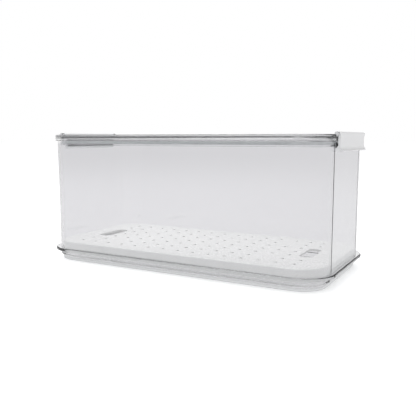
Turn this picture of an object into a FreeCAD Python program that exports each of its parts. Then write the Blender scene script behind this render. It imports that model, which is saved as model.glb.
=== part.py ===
"""Fridge bin: a long clear box with a stepped base, a white drain tray that lifts out, and a clear
lid with a silicone seal. A white latch at each end turns on the lid and snaps under a rib of the box.

Millimetres. X runs along the length with the front end at +X, Y across, Z up. The origin is on the
surface that the bin stands on, under its middle. Every outline is the box's wall face moved
outwards (+) or inwards (-), so the sizes below that are called inset or overhang are measured from
that face.
"""
import FreeCAD, Part
import math
import os

# Driving dimensions: the box
WALL_LENGTH = 316.0
WALL_WIDTH = 151.0
WALL_CORNER_RADIUS = 31.0
WALL_THICKNESS = 2.4
RIM_HEIGHT = 135.5
RIM_OVERHANG = 2.4
RIM_THICKNESS = 3.2
FLOOR_THICKNESS = 2.6
FOOT_HEIGHT = 5.0
FOOT_INSET = 3.0
BASE_INSET = 0.8
BASE_CORNER_RADIUS = 28.5
LEDGE_HEIGHT = 10.2
LEDGE_THICKNESS = 3.2
LEDGE_OVERHANG = 4.5
LEDGE_CORNER_RADIUS = 33.5

# Driving dimensions: the lid and its seal
LID_RIM_THICKNESS = 2.9
LID_RECESS_DEPTH = 1.8
LID_PANEL_THICKNESS = 2.0
PLUG_THICKNESS = 2.0
PLUG_DEPTH = 8.0
SEAL_HEIGHT = 2.6
SEAL_ABOVE_PLUG_END = 1.7
SEAL_GROOVE_DEPTH = 1.0

# Driving dimensions: the latches
LATCH_WIDTH = 90.0
LATCH_THICKNESS = 1.9
LATCH_DROP = 15.5
BARREL_RADIUS = 2.3
TRUNNION_RADIUS = 1.2
TRUNNION_LENGTH = 3.25
EAR_WIDTH = 4.0
FLARE_REACH = 2.6
FLARE_HEIGHT = 6.8
LIP_RADIUS = 1.0
LATCH_CORNER_RADIUS = 4.0
RIB_REACH = 2.3
RIB_TIP_HEIGHT = 1.0
RIB_DROP_FROM_RIM = 6.9
RIB_WIDTH = 84.0
CATCH_ANGLE = 50.0
CATCH_BITE = 1.8
CATCH_TIP_HEIGHT = 0.8

# Driving dimensions: the tray
TRAY_TOP = 20.5
TRAY_THICKNESS = 2.0
TRAY_SKIRT_THICKNESS = 1.8
DRAIN_HOLE_RADIUS = 2.0
DRAIN_PITCH = 18.0
DRAIN_MARGIN = 16.0
FINGER_SLOT_LENGTH = 44.0
FINGER_SLOT_WIDTH = 15.0
FINGER_SLOT_INSET = 30.0
TRAY_FOOT_RADIUS = 4.0
TRAY_FOOT_FROM_END = 62.0
TRAY_FOOT_FROM_SIDE = 34.0

# Clearances
SEAT_GAP = 0.3
RUNNING_GAP = 0.4
PIVOT_CLEARANCE = 0.05
PLUG_GAP = 0.6
SEAL_GAP = 0.35
TRAY_GAP = 0.8
STACK_GAP = 0.6

# Edge rounding
EDGE_ROUND = 0.8
LEDGE_ROUND = 1.2
INSIDE_ROUND = 0.8
TRAY_ROUND = 1.2

# Levels worked out from the above
SHELF_TOP = FOOT_HEIGHT + WALL_THICKNESS
LEDGE_TOP = LEDGE_HEIGHT + LEDGE_THICKNESS
LID_RIM_BOTTOM = RIM_HEIGHT + SEAT_GAP
LID_RIM_TOP = LID_RIM_BOTTOM + LID_RIM_THICKNESS
LID_RECESS_FLOOR = LID_RIM_TOP - LID_RECESS_DEPTH
PANEL_BOTTOM = LID_RECESS_FLOOR - LID_PANEL_THICKNESS
PLUG_BOTTOM = RIM_HEIGHT - PLUG_DEPTH
SEAL_BOTTOM = PLUG_BOTTOM + SEAL_ABOVE_PLUG_END
SEAL_TOP = SEAL_BOTTOM + SEAL_HEIGHT

# Places on an end of the box, as a distance out from the end wall's face and a height
LATCH_INNER = RIM_OVERHANG + RUNNING_GAP
LATCH_OUTER = LATCH_INNER + LATCH_THICKNESS
PIVOT_OUT = LATCH_OUTER - BARREL_RADIUS
PIVOT_HEIGHT = LID_RIM_TOP
LATCH_BOTTOM = PIVOT_HEIGHT - LATCH_DROP
RIB_TIP_BOTTOM = RIM_HEIGHT - RIB_DROP_FROM_RIM
NOTCH_OUT = PIVOT_OUT - BARREL_RADIUS - SEAT_GAP
NOTCH_HALF_WIDTH = LATCH_WIDTH / 2 + SEAT_GAP

REACH = 1000.0
UP = FreeCAD.Vector(0, 0, 1)
ACROSS = FreeCAD.Vector(0, 1, 0)


def outline_face(offset, radius, height):
    """A rounded rectangle at a height, set out from the wall's face by an offset."""
    half_x = WALL_LENGTH / 2 + offset
    half_y = WALL_WIDTH / 2 + offset
    diagonal = radius * (1 - math.sqrt(0.5))
    edges = []
    corners = [(1, -1, False), (1, 1, True), (-1, 1, False), (-1, -1, True)]
    ends = []
    for sign_x, sign_y, along_x_first in corners:
        on_side = FreeCAD.Vector(sign_x * (half_x - radius), sign_y * half_y, height)
        on_end = FreeCAD.Vector(sign_x * half_x, sign_y * (half_y - radius), height)
        middle = FreeCAD.Vector(sign_x * (half_x - diagonal), sign_y * (half_y - diagonal), height)
        start, stop = (on_end, on_side) if along_x_first else (on_side, on_end)
        edges.append(Part.Arc(start, middle, stop).toShape())
        ends.append((start, stop))
    for index, (start, stop) in enumerate(ends):
        next_start = ends[(index + 1) % len(ends)][0]
        edges.append(Part.LineSegment(stop, next_start).toShape())
    wire = Part.Wire(Part.__sortEdges__(edges))
    return Part.Face(wire)


def level_edges(shape, height):
    """The edges of a shape that lie flat at one height."""
    flat = []
    for edge in shape.Edges:
        box = edge.BoundBox
        if abs(box.ZMin - height) < 1e-4 and abs(box.ZMax - height) < 1e-4:
            flat.append(edge)
    return flat


def slab(offset, radius, bottom, top, round_bottom=0.0, round_top=0.0):
    """A rounded rectangular block between two heights, with its flat edges rounded over."""
    block = outline_face(offset, radius, bottom).extrude(UP * (top - bottom))
    if round_bottom > 0:
        block = block.makeFillet(round_bottom, level_edges(block, bottom))
    if round_top > 0:
        block = block.makeFillet(round_top, level_edges(block, top))
    return block


def rod(radius, y_start, y_stop, out, height):
    """A cylinder across the front end, from one Y to another."""
    base = FreeCAD.Vector(WALL_LENGTH / 2 + out, y_start, height)
    return Part.makeCylinder(radius, y_stop - y_start, base, ACROSS)


def end_profile(points, width):
    """A closed outline of (out, height) points at the front end, drawn out across to a width.

    A point may carry a third item, the middle of the arc that leads to it from the point before.
    """
    def place(out, height):
        return FreeCAD.Vector(WALL_LENGTH / 2 + out, -width / 2, height)

    edges = []
    previous = place(*points[-1][:2])
    for point in points:
        current = place(*point[:2])
        if len(point) > 2:
            edges.append(Part.Arc(previous, place(*point[2]), current).toShape())
        else:
            edges.append(Part.LineSegment(previous, current).toShape())
        previous = current
    return Part.Face(Part.Wire(edges)).extrude(ACROSS * width)


def both_ends(shape):
    """A shape at the front end and its mirror image at the rear end."""
    return [shape, shape.mirror(FreeCAD.Vector(), FreeCAD.Vector(1, 0, 0))]


def make_bin_body():
    foot_radius = BASE_CORNER_RADIUS - (FOOT_INSET - BASE_INSET)
    foot = slab(-FOOT_INSET, foot_radius, 0, SHELF_TOP, round_bottom=EDGE_ROUND)
    base = slab(-BASE_INSET, BASE_CORNER_RADIUS, FOOT_HEIGHT, LEDGE_TOP, round_bottom=LEDGE_ROUND)
    ledge = slab(LEDGE_OVERHANG, LEDGE_CORNER_RADIUS, LEDGE_HEIGHT, LEDGE_TOP, LEDGE_ROUND, LEDGE_ROUND)
    wall = slab(0, WALL_CORNER_RADIUS, LEDGE_HEIGHT, RIM_HEIGHT)
    rim = slab(RIM_OVERHANG, WALL_CORNER_RADIUS + RIM_OVERHANG,
               RIM_HEIGHT - RIM_THICKNESS, RIM_HEIGHT, EDGE_ROUND, EDGE_ROUND)
    body = foot.fuse([base, ledge, wall, rim])
    slope = math.tan(math.radians(CATCH_ANGLE))
    rib = end_profile([(-WALL_THICKNESS / 2, RIB_TIP_BOTTOM - slope * RIB_REACH),
                       (0, RIB_TIP_BOTTOM - slope * RIB_REACH),
                       (RIB_REACH, RIB_TIP_BOTTOM),
                       (RIB_REACH, RIB_TIP_BOTTOM + RIB_TIP_HEIGHT),
                       (0, RIB_TIP_BOTTOM + RIB_TIP_HEIGHT + RIB_REACH),
                       (-WALL_THICKNESS / 2, RIB_TIP_BOTTOM + RIB_TIP_HEIGHT + RIB_REACH)], RIB_WIDTH)
    body = body.fuse(both_ends(rib))
    well = slab(-FOOT_INSET - WALL_THICKNESS, foot_radius - WALL_THICKNESS,
                FLOOR_THICKNESS, LEDGE_TOP, round_bottom=INSIDE_ROUND)
    inside = slab(-WALL_THICKNESS, WALL_CORNER_RADIUS - WALL_THICKNESS,
                  SHELF_TOP, RIM_HEIGHT + REACH, round_bottom=INSIDE_ROUND)
    return body.cut([well, inside]).removeSplitter()


def make_lid():
    rim_radius = WALL_CORNER_RADIUS + RIM_OVERHANG
    rim = slab(RIM_OVERHANG, rim_radius, LID_RIM_BOTTOM, LID_RIM_TOP, EDGE_ROUND, EDGE_ROUND)
    plug_offset = -WALL_THICKNESS - PLUG_GAP
    plug_radius = WALL_CORNER_RADIUS + plug_offset
    plug = slab(plug_offset, plug_radius, PLUG_BOTTOM, LID_RECESS_FLOOR, round_bottom=EDGE_ROUND / 2)
    hollow = slab(plug_offset - PLUG_THICKNESS, plug_radius - PLUG_THICKNESS,
                  PLUG_BOTTOM - REACH, PANEL_BOTTOM, round_top=INSIDE_ROUND)
    recess_offset = STACK_GAP - FOOT_INSET
    recess_radius = BASE_CORNER_RADIUS + BASE_INSET + recess_offset
    recess = slab(recess_offset, recess_radius, LID_RECESS_FLOOR, LID_RIM_TOP + REACH,
                  round_bottom=EDGE_ROUND / 2)
    groove_outer = slab(plug_offset + REACH / 100, plug_radius + REACH / 100, SEAL_BOTTOM, SEAL_TOP)
    groove_inner = slab(plug_offset - SEAL_GROOVE_DEPTH, plug_radius - SEAL_GROOVE_DEPTH,
                        SEAL_BOTTOM, SEAL_TOP)
    groove = groove_outer.cut(groove_inner)
    lid = rim.fuse(plug).cut([hollow, recess, groove])
    notch = Part.makeBox(REACH, 2 * NOTCH_HALF_WIDTH, REACH,
                         FreeCAD.Vector(WALL_LENGTH / 2 + NOTCH_OUT, -NOTCH_HALF_WIDTH, RIM_HEIGHT))
    lid = lid.cut(both_ends(notch))
    ears = []
    sockets = []
    for side in (-1, 1):
        ear_inner = side * NOTCH_HALF_WIDTH
        ear_outer = side * (NOTCH_HALF_WIDTH + EAR_WIDTH)
        socket_end = side * (LATCH_WIDTH / 2 + TRUNNION_LENGTH + SEAT_GAP)
        ear = rod(BARREL_RADIUS, min(ear_inner, ear_outer), max(ear_inner, ear_outer),
                  PIVOT_OUT, PIVOT_HEIGHT)
        outer_face_edges = [edge for edge in ear.Edges
                            if abs(edge.BoundBox.YMin - ear_outer) < 1e-4
                            and abs(edge.BoundBox.YMax - ear_outer) < 1e-4]
        ears += both_ends(ear.makeFillet(EDGE_ROUND, outer_face_edges))
        sockets += both_ends(rod(TRUNNION_RADIUS + PIVOT_CLEARANCE, min(0, socket_end),
                                 max(0, socket_end), PIVOT_OUT, PIVOT_HEIGHT))
    return lid.fuse(ears).cut(sockets).removeSplitter()


def make_lid_seal():
    plug_offset = -WALL_THICKNESS - PLUG_GAP
    plug_radius = WALL_CORNER_RADIUS + plug_offset
    lip_offset = -WALL_THICKNESS - SEAL_GAP
    lip_radius = WALL_CORNER_RADIUS + lip_offset
    lip_height = SEAL_HEIGHT / 3
    ring = slab(plug_offset, plug_radius, SEAL_BOTTOM, SEAL_TOP)
    lips = []
    for lip_bottom in (SEAL_BOTTOM, SEAL_TOP - lip_height):
        lips.append(slab(lip_offset, lip_radius, lip_bottom, lip_bottom + lip_height))
    core = slab(plug_offset - SEAL_GROOVE_DEPTH, plug_radius - SEAL_GROOVE_DEPTH,
                SEAL_BOTTOM - REACH, SEAL_TOP + REACH)
    return ring.fuse(lips).cut(core).removeSplitter()


def make_front_latch():
    angle = math.radians(CATCH_ANGLE)
    slope = math.tan(angle)
    face_out = RIB_REACH + RUNNING_GAP * math.sin(angle)
    face_height = RIB_TIP_BOTTOM - RUNNING_GAP * math.cos(angle)
    catch_out = RIB_REACH - CATCH_BITE
    catch_top = face_height - slope * (face_out - catch_out)
    catch_bottom = catch_top - CATCH_TIP_HEIGHT
    flare_top = LATCH_BOTTOM + FLARE_HEIGHT
    lip_out = LATCH_OUTER + FLARE_REACH
    lip_height = LATCH_BOTTOM + LIP_RADIUS
    quarter = LIP_RADIUS * math.sqrt(0.5)
    bend = (LATCH_OUTER + FLARE_REACH * 0.22, LATCH_BOTTOM + FLARE_HEIGHT * 0.52)
    profile = end_profile([
        (LATCH_OUTER, PIVOT_HEIGHT),
        (LATCH_OUTER, flare_top),
        (lip_out, lip_height, bend),
        (lip_out - LIP_RADIUS, LATCH_BOTTOM, (lip_out - LIP_RADIUS + quarter, lip_height - quarter)),
        (LATCH_INNER, LATCH_BOTTOM),
        (catch_out, catch_bottom),
        (catch_out, catch_top),
        (LATCH_INNER, face_height + slope * (LATCH_INNER - face_out)),
        (LATCH_INNER, PIVOT_HEIGHT)], LATCH_WIDTH)
    barrel = rod(BARREL_RADIUS, -LATCH_WIDTH / 2, LATCH_WIDTH / 2, PIVOT_OUT, PIVOT_HEIGHT)
    flap = profile.fuse(barrel)
    half = LATCH_WIDTH / 2
    lower = LATCH_BOTTOM
    corner_cuts = []
    for side in (-1, 1):
        corner = Part.makeBox(REACH, LATCH_CORNER_RADIUS, LATCH_CORNER_RADIUS,
                              FreeCAD.Vector(0, min(side * half, side * (half - LATCH_CORNER_RADIUS)), lower))
        keep = Part.makeCylinder(LATCH_CORNER_RADIUS, REACH,
                                 FreeCAD.Vector(0, side * (half - LATCH_CORNER_RADIUS),
                                                lower + LATCH_CORNER_RADIUS),
                                 FreeCAD.Vector(1, 0, 0))
        corner_cuts.append(corner.cut(keep))
    flap = flap.cut(corner_cuts)
    pins = rod(TRUNNION_RADIUS, -half - TRUNNION_LENGTH, half + TRUNNION_LENGTH, PIVOT_OUT, PIVOT_HEIGHT)
    return flap.fuse(pins).removeSplitter()


def make_drain_tray():
    skirt_offset = -WALL_THICKNESS - TRAY_GAP
    skirt_radius = WALL_CORNER_RADIUS + skirt_offset
    outer = slab(skirt_offset, skirt_radius, SHELF_TOP + SEAT_GAP, TRAY_TOP, round_top=TRAY_ROUND)
    hollow = slab(skirt_offset - TRAY_SKIRT_THICKNESS, skirt_radius - TRAY_SKIRT_THICKNESS,
                  0, TRAY_TOP - TRAY_THICKNESS, round_top=INSIDE_ROUND)
    tray = outer.cut(hollow)
    half_length = WALL_LENGTH / 2 + skirt_offset
    half_width = WALL_WIDTH / 2 + skirt_offset
    foot_bottom = FLOOR_THICKNESS + SEAT_GAP
    feet = []
    for side_x in (-1, 1):
        for side_y in (-1, 1):
            base = FreeCAD.Vector(side_x * (half_length - TRAY_FOOT_FROM_END),
                                  side_y * (half_width - TRAY_FOOT_FROM_SIDE), foot_bottom)
            feet.append(Part.makeCylinder(TRAY_FOOT_RADIUS, TRAY_TOP - TRAY_THICKNESS / 2 - foot_bottom,
                                          base, UP))
    tray = tray.fuse(feet)
    return tray.cut(finger_slots(half_length) + drain_holes(half_length, half_width)).removeSplitter()


def finger_slots(half_length):
    """Cutters for the slot near each end that a finger lifts the tray by."""
    centre_x = half_length - FINGER_SLOT_INSET
    end_radius = FINGER_SLOT_WIDTH / 2
    straight = FINGER_SLOT_LENGTH - FINGER_SLOT_WIDTH
    slot = Part.makeBox(FINGER_SLOT_WIDTH, straight, TRAY_TOP,
                        FreeCAD.Vector(centre_x - end_radius, -straight / 2, SHELF_TOP))
    for side in (-1, 1):
        slot = slot.fuse(Part.makeCylinder(end_radius, TRAY_TOP,
                                           FreeCAD.Vector(centre_x, side * straight / 2, SHELF_TOP), UP))
    return both_ends(slot.removeSplitter())


def drain_holes(half_length, half_width):
    """Cutters for the grid of drain holes, left out over the feet and around the finger slots."""
    columns = int((half_length - DRAIN_MARGIN) / DRAIN_PITCH)
    rows = int((half_width - DRAIN_MARGIN) / DRAIN_PITCH)
    foot_x = half_length - TRAY_FOOT_FROM_END
    foot_y = half_width - TRAY_FOOT_FROM_SIDE
    slot_x = half_length - FINGER_SLOT_INSET
    holes = []
    for column in range(-columns, columns + 1):
        for row in range(-rows, rows + 1):
            x = column * DRAIN_PITCH
            y = row * DRAIN_PITCH
            near_foot = math.hypot(abs(x) - foot_x, abs(y) - foot_y) < TRAY_FOOT_RADIUS + 2 * DRAIN_HOLE_RADIUS
            near_slot = (abs(abs(x) - slot_x) < FINGER_SLOT_WIDTH / 2 + 2 * DRAIN_HOLE_RADIUS
                         and abs(y) < FINGER_SLOT_LENGTH / 2 + 2 * DRAIN_HOLE_RADIUS)
            if near_foot or near_slot:
                continue
            base = FreeCAD.Vector(x, y, TRAY_TOP - TRAY_THICKNESS - 1)
            holes.append(Part.makeCylinder(DRAIN_HOLE_RADIUS, TRAY_THICKNESS + 2, base, UP))
    return holes


def main():
    os.makedirs("parts", exist_ok=True)
    front_latch, rear_latch = both_ends(make_front_latch())
    pieces = {
        "bin_body": make_bin_body(),
        "lid": make_lid(),
        "lid_seal": make_lid_seal(),
        "front_latch": front_latch,
        "rear_latch": rear_latch,
        "drain_tray": make_drain_tray(),
    }
    for name, shape in pieces.items():
        box = shape.BoundBox
        print(name, "solids", len(shape.Solids), "valid", shape.isValid(), "volume", round(shape.Volume),
              "box", [round(v, 2) for v in (box.XMin, box.YMin, box.ZMin, box.XMax, box.YMax, box.ZMax)])
        shape.exportStep("parts/" + name + ".step")


main()
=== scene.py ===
import math

import bpy
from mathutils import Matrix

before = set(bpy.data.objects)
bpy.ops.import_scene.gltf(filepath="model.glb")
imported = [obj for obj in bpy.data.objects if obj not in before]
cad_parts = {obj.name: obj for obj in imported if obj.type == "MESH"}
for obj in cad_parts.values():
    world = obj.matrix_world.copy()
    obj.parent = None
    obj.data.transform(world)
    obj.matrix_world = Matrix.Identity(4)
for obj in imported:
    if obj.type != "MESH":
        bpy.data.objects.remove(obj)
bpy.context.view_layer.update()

WHITE = (1.0, 1.0, 1.0, 1.0)

# The camera: where it stands, how far it looks down, how far it turns to the left, and its lens in mm
CAMERA_PLACE = (0.2887, -0.5163, 0.1350)
CAMERA_PITCH = math.radians(7.38)
CAMERA_TURN = math.radians(28.71)
CAMERA_LENS = 46.54
CAMERA_SENSOR = 36.0
CAMERA_NEAREST = 0.01

# The floor. Its lift is the glow that takes it to white where it is seen directly. Its evenness is
# the share of flat colour in it where it is seen through plastic or in a reflection.
FLOOR_SIZE = 30.0
FLOOR_COLOUR = (0.86, 0.86, 0.87, 1.0)
FLOOR_ROUGHNESS = 0.9
FLOOR_IOR = 1.3
FLOOR_SPECULAR = 0.1
FLOOR_LIFT = 0.36
FLOOR_EVENNESS_THROUGH_PLASTIC = 0.75

# The daylight, and the brightness of the sky that shows through plastic and in reflections, at
# heights from 0, straight down, to 1, straight up
DAYLIGHT = 0.78
SKY_STEPS = ((0.60, 1.0), (0.65, 0.05), (0.90, 0.03), (0.95, 1.0))

# The softbox, behind the bin and to its left
SOFTBOX_PLACE = (-0.45, 0.35, 1.25)
SOFTBOX_SIZE = 1.1
SOFTBOX_POWER = 12.0

# The clear plastic: its colour, the light that its shadow keeps, and how it darkens along its length
CLEAR_COLOUR = (0.945, 0.94, 0.95, 1.0)
CLEAR_SHADOW = (0.975, 0.98, 0.98, 1.0)
CLEAR_IOR = 1.57
CLEAR_TINT = (0.79, 0.80, 0.80, 1.0)
CLEAR_DENSITY = 90.0

# The opaque plastics and the silicone: the darker and the lighter shade of each
PLASTIC_IOR = 1.5
LATCH_SHADES = ((0.84, 0.84, 0.85, 1.0), (0.89, 0.89, 0.895, 1.0))
TRAY_SHADES = ((0.93, 0.92, 0.92, 1.0), (0.97, 0.965, 0.96, 1.0))
SILICONE_IOR = 1.41
SILICONE_CLEARNESS = 0.55
SILICONE_SHADES = ((0.78, 0.80, 0.81, 1.0), (0.86, 0.87, 0.88, 1.0))

# The unevenness of every moulded surface
NOISE_MIDDLE = 0.5
GRAIN_DETAIL = 3.0
CLOUD_SCALE = 18.0
CLOUD_DETAIL = 2.0
BUMP_STRENGTH = 0.3


def link(tree, source, target):
    tree.links.new(source, target)


def math_node(tree, operation, first, second):
    """The result of a sum on two values, each a number or another node's output."""
    node = tree.nodes.new("ShaderNodeMath")
    node.operation = operation
    for socket, value in zip(node.inputs, (first, second)):
        if isinstance(value, float):
            socket.default_value = value
        else:
            link(tree, value, socket)
    return node.outputs[0]


def centred_noise(tree, coordinates, scale, detail):
    """Noise that varies about 0, at a scale that is a number or another node's output."""
    node = tree.nodes.new("ShaderNodeTexNoise")
    node.inputs["Detail"].default_value = detail
    if isinstance(scale, float):
        node.inputs["Scale"].default_value = scale
    else:
        link(tree, scale, node.inputs["Scale"])
    link(tree, coordinates, node.inputs["Vector"])
    return math_node(tree, "SUBTRACT", node.outputs["Fac"], NOISE_MIDDLE)


def bent_rays(tree, path):
    """1 for a ray that plastic has bent or a surface has reflected, else 0."""
    return math_node(tree, "MAXIMUM", path.outputs["Is Transmission Ray"], path.outputs["Is Glossy Ray"])


def moulded_surface_group():
    """Fine unevenness of a moulded surface: a mask about 0, and a height for a bump."""
    group = bpy.data.node_groups.new("moulded_surface", "ShaderNodeTree")
    for direction, labels in (("INPUT", ("Scale", "Amount")), ("OUTPUT", ("Variation", "Height"))):
        for label in labels:
            group.interface.new_socket(label, in_out=direction, socket_type="NodeSocketFloat")
    inlet = group.nodes.new("NodeGroupInput")
    outlet = group.nodes.new("NodeGroupOutput")
    place = group.nodes.new("ShaderNodeTexCoord").outputs["Object"]
    grain = centred_noise(group, place, inlet.outputs["Scale"], GRAIN_DETAIL)
    clouds = centred_noise(group, place, CLOUD_SCALE, CLOUD_DETAIL)
    both = math_node(group, "ADD", grain, clouds)
    link(group, math_node(group, "MULTIPLY", both, inlet.outputs["Amount"]), outlet.inputs["Variation"])
    link(group, grain, outlet.inputs["Height"])
    return group


def principled(name, ior):
    """A new material, its tree and its surface shader."""
    material = bpy.data.materials.new(name)
    material.use_nodes = True
    tree = material.node_tree
    shader = tree.nodes["Principled BSDF"]
    shader.inputs["IOR"].default_value = ior
    return material, tree, shader


def add_surface(tree, shader, group, scale, amount, roughness, bump_distance, shades=None):
    """Puts the moulded unevenness into a material's roughness, normal and, with shades, colour."""
    surface = tree.nodes.new("ShaderNodeGroup")
    surface.node_tree = group
    surface.inputs["Scale"].default_value = scale
    surface.inputs["Amount"].default_value = amount
    variation = surface.outputs["Variation"]
    link(tree, math_node(tree, "ADD", variation, roughness), shader.inputs["Roughness"])
    bump = tree.nodes.new("ShaderNodeBump")
    bump.inputs["Distance"].default_value = bump_distance
    bump.inputs["Strength"].default_value = BUMP_STRENGTH
    link(tree, surface.outputs["Height"], bump.inputs["Height"])
    link(tree, bump.outputs["Normal"], shader.inputs["Normal"])
    if shades:
        mix = tree.nodes.new("ShaderNodeMix")
        mix.data_type = "RGBA"
        mix.inputs["A"].default_value, mix.inputs["B"].default_value = shades
        link(tree, math_node(tree, "ADD", variation, NOISE_MIDDLE), mix.inputs["Factor"])
        link(tree, mix.outputs["Result"], shader.inputs["Base Color"])


def clear_plastic(name, group):
    """Polished clear plastic: it bends light, and grows greyer with the length of plastic in line."""
    material, tree, shader = principled(name, CLEAR_IOR)
    shader.inputs["Base Color"].default_value = CLEAR_COLOUR
    shader.inputs["Transmission Weight"].default_value = 1.0
    add_surface(tree, shader, group, scale=60.0, amount=0.02, roughness=0.02, bump_distance=0.00002)
    lets_through = tree.nodes.new("ShaderNodeBsdfTransparent")
    lets_through.inputs["Color"].default_value = CLEAR_SHADOW
    path = tree.nodes.new("ShaderNodeLightPath")
    mix = tree.nodes.new("ShaderNodeMixShader")
    indirect = math_node(tree, "MAXIMUM", path.outputs["Is Shadow Ray"], path.outputs["Is Diffuse Ray"])
    link(tree, indirect, mix.inputs[0])
    link(tree, shader.outputs[0], mix.inputs[1])
    link(tree, lets_through.outputs[0], mix.inputs[2])
    absorb = tree.nodes.new("ShaderNodeVolumeAbsorption")
    absorb.inputs["Color"].default_value = CLEAR_TINT
    absorb.inputs["Density"].default_value = CLEAR_DENSITY
    output = tree.nodes["Material Output"]
    link(tree, mix.outputs[0], output.inputs["Surface"])
    link(tree, absorb.outputs[0], output.inputs["Volume"])
    return material


def white_latch_plastic(group):
    """Satin white, with a fine grain that a finger grips."""
    material, tree, shader = principled("white_latch_plastic", PLASTIC_IOR)
    add_surface(tree, shader, group, scale=900.0, amount=0.08, roughness=0.32, bump_distance=0.00006,
                shades=LATCH_SHADES)
    return material


def white_tray_plastic(group):
    """Brighter and a little glossier than the latches."""
    material, tree, shader = principled("white_tray_plastic", PLASTIC_IOR)
    add_surface(tree, shader, group, scale=700.0, amount=0.10, roughness=0.26, bump_distance=0.00005,
                shades=TRAY_SHADES)
    return material


def silicone(group):
    """Dull and milky: some light goes through it."""
    material, tree, shader = principled("translucent_silicone", SILICONE_IOR)
    shader.inputs["Transmission Weight"].default_value = SILICONE_CLEARNESS
    add_surface(tree, shader, group, scale=400.0, amount=0.10, roughness=0.42, bump_distance=0.00008,
                shades=SILICONE_SHADES)
    return material


def finish_nodes():
    """Gives each part its finish."""
    group = moulded_surface_group()
    latch_white = white_latch_plastic(group)
    finishes = {"bin_body": clear_plastic("clear_box_plastic", group),
                "lid": clear_plastic("clear_lid_plastic", group),
                "lid_seal": silicone(group),
                "front_latch": latch_white,
                "rear_latch": latch_white,
                "drain_tray": white_tray_plastic(group)}
    for name, material in finishes.items():
        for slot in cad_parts[name].material_slots:
            slot.material = material


def make_camera():
    data = bpy.data.cameras.new("camera")
    data.lens = CAMERA_LENS
    data.sensor_width = CAMERA_SENSOR
    data.clip_start = CAMERA_NEAREST
    camera = bpy.data.objects.new("camera", data)
    camera.location = CAMERA_PLACE
    camera.rotation_euler = (math.pi / 2 - CAMERA_PITCH, 0.0, CAMERA_TURN)
    bpy.context.scene.collection.objects.link(camera)
    bpy.context.scene.camera = camera


def make_floor():
    """A pale floor that is white where it is seen directly, keeps the bin's shadow, and shows as
    an even pale grey through the clear walls."""
    bpy.ops.object.select_all(action="DESELECT")
    bpy.ops.mesh.primitive_plane_add(size=FLOOR_SIZE)
    floor = bpy.context.object
    floor.name = "studio_floor"
    material, tree, shader = principled("studio_floor", FLOOR_IOR)
    shader.inputs["Base Color"].default_value = FLOOR_COLOUR
    shader.inputs["Roughness"].default_value = FLOOR_ROUGHNESS
    shader.inputs["Specular IOR Level"].default_value = FLOOR_SPECULAR
    path = tree.nodes.new("ShaderNodeLightPath")
    glow = tree.nodes.new("ShaderNodeEmission")
    lift = math_node(tree, "MULTIPLY", path.outputs["Is Camera Ray"], FLOOR_LIFT)
    link(tree, lift, glow.inputs["Strength"])
    lifted = tree.nodes.new("ShaderNodeAddShader")
    link(tree, shader.outputs[0], lifted.inputs[0])
    link(tree, glow.outputs[0], lifted.inputs[1])
    even = tree.nodes.new("ShaderNodeEmission")
    even.inputs["Color"].default_value = FLOOR_COLOUR
    mix = tree.nodes.new("ShaderNodeMixShader")
    share = math_node(tree, "MULTIPLY", bent_rays(tree, path), FLOOR_EVENNESS_THROUGH_PLASTIC)
    link(tree, share, mix.inputs[0])
    link(tree, lifted.outputs[0], mix.inputs[1])
    link(tree, even.outputs[0], mix.inputs[2])
    link(tree, mix.outputs[0], tree.nodes["Material Output"].inputs["Surface"])
    floor.data.materials.append(material)


def make_world():
    """Even daylight, white where it is seen directly. Bent and reflected rays see a white surround
    with a dark band high up, which draws the clear plastic's edges."""
    world = bpy.data.worlds.new("studio")
    bpy.context.scene.world = world
    world.use_nodes = True
    tree = world.node_tree
    back = tree.nodes["Background"]
    split = tree.nodes.new("ShaderNodeSeparateXYZ")
    link(tree, tree.nodes.new("ShaderNodeTexCoord").outputs["Generated"], split.inputs[0])
    height = math_node(tree, "MULTIPLY", math_node(tree, "ADD", split.outputs["Z"], 1.0), 0.5)
    ramp = tree.nodes.new("ShaderNodeValToRGB")
    ramp.color_ramp.elements[0].color = WHITE
    for position, level in SKY_STEPS:
        ramp.color_ramp.elements.new(position).color = (level, level, level, 1.0)
    link(tree, height, ramp.inputs[0])
    path = tree.nodes.new("ShaderNodeLightPath")
    bent = bent_rays(tree, path)
    shade = tree.nodes.new("ShaderNodeMix")
    shade.data_type = "RGBA"
    shade.inputs["A"].default_value = WHITE
    link(tree, bent, shade.inputs["Factor"])
    link(tree, ramp.outputs[0], shade.inputs["B"])
    link(tree, shade.outputs["Result"], back.inputs["Color"])
    seen = math_node(tree, "MAXIMUM", path.outputs["Is Camera Ray"], bent)
    level = math_node(tree, "ADD", math_node(tree, "MULTIPLY", seen, 1.0 - DAYLIGHT), DAYLIGHT)
    link(tree, level, back.inputs["Strength"])


def make_softbox():
    """A square lamp above the floor that leans outwards, away from the bin."""
    data = bpy.data.lights.new("softbox", "AREA")
    data.shape = "SQUARE"
    data.size = SOFTBOX_SIZE
    data.energy = SOFTBOX_POWER
    softbox = bpy.data.objects.new("softbox", data)
    softbox.location = SOFTBOX_PLACE
    across, back, up = SOFTBOX_PLACE
    softbox.rotation_euler = (math.atan2(math.hypot(across, back), up), 0.0, math.atan2(-across, back))
    bpy.context.scene.collection.objects.link(softbox)


make_camera()
finish_nodes()
make_floor()
make_world()
make_softbox()
bpy.context.scene.view_settings.view_transform = "Standard"
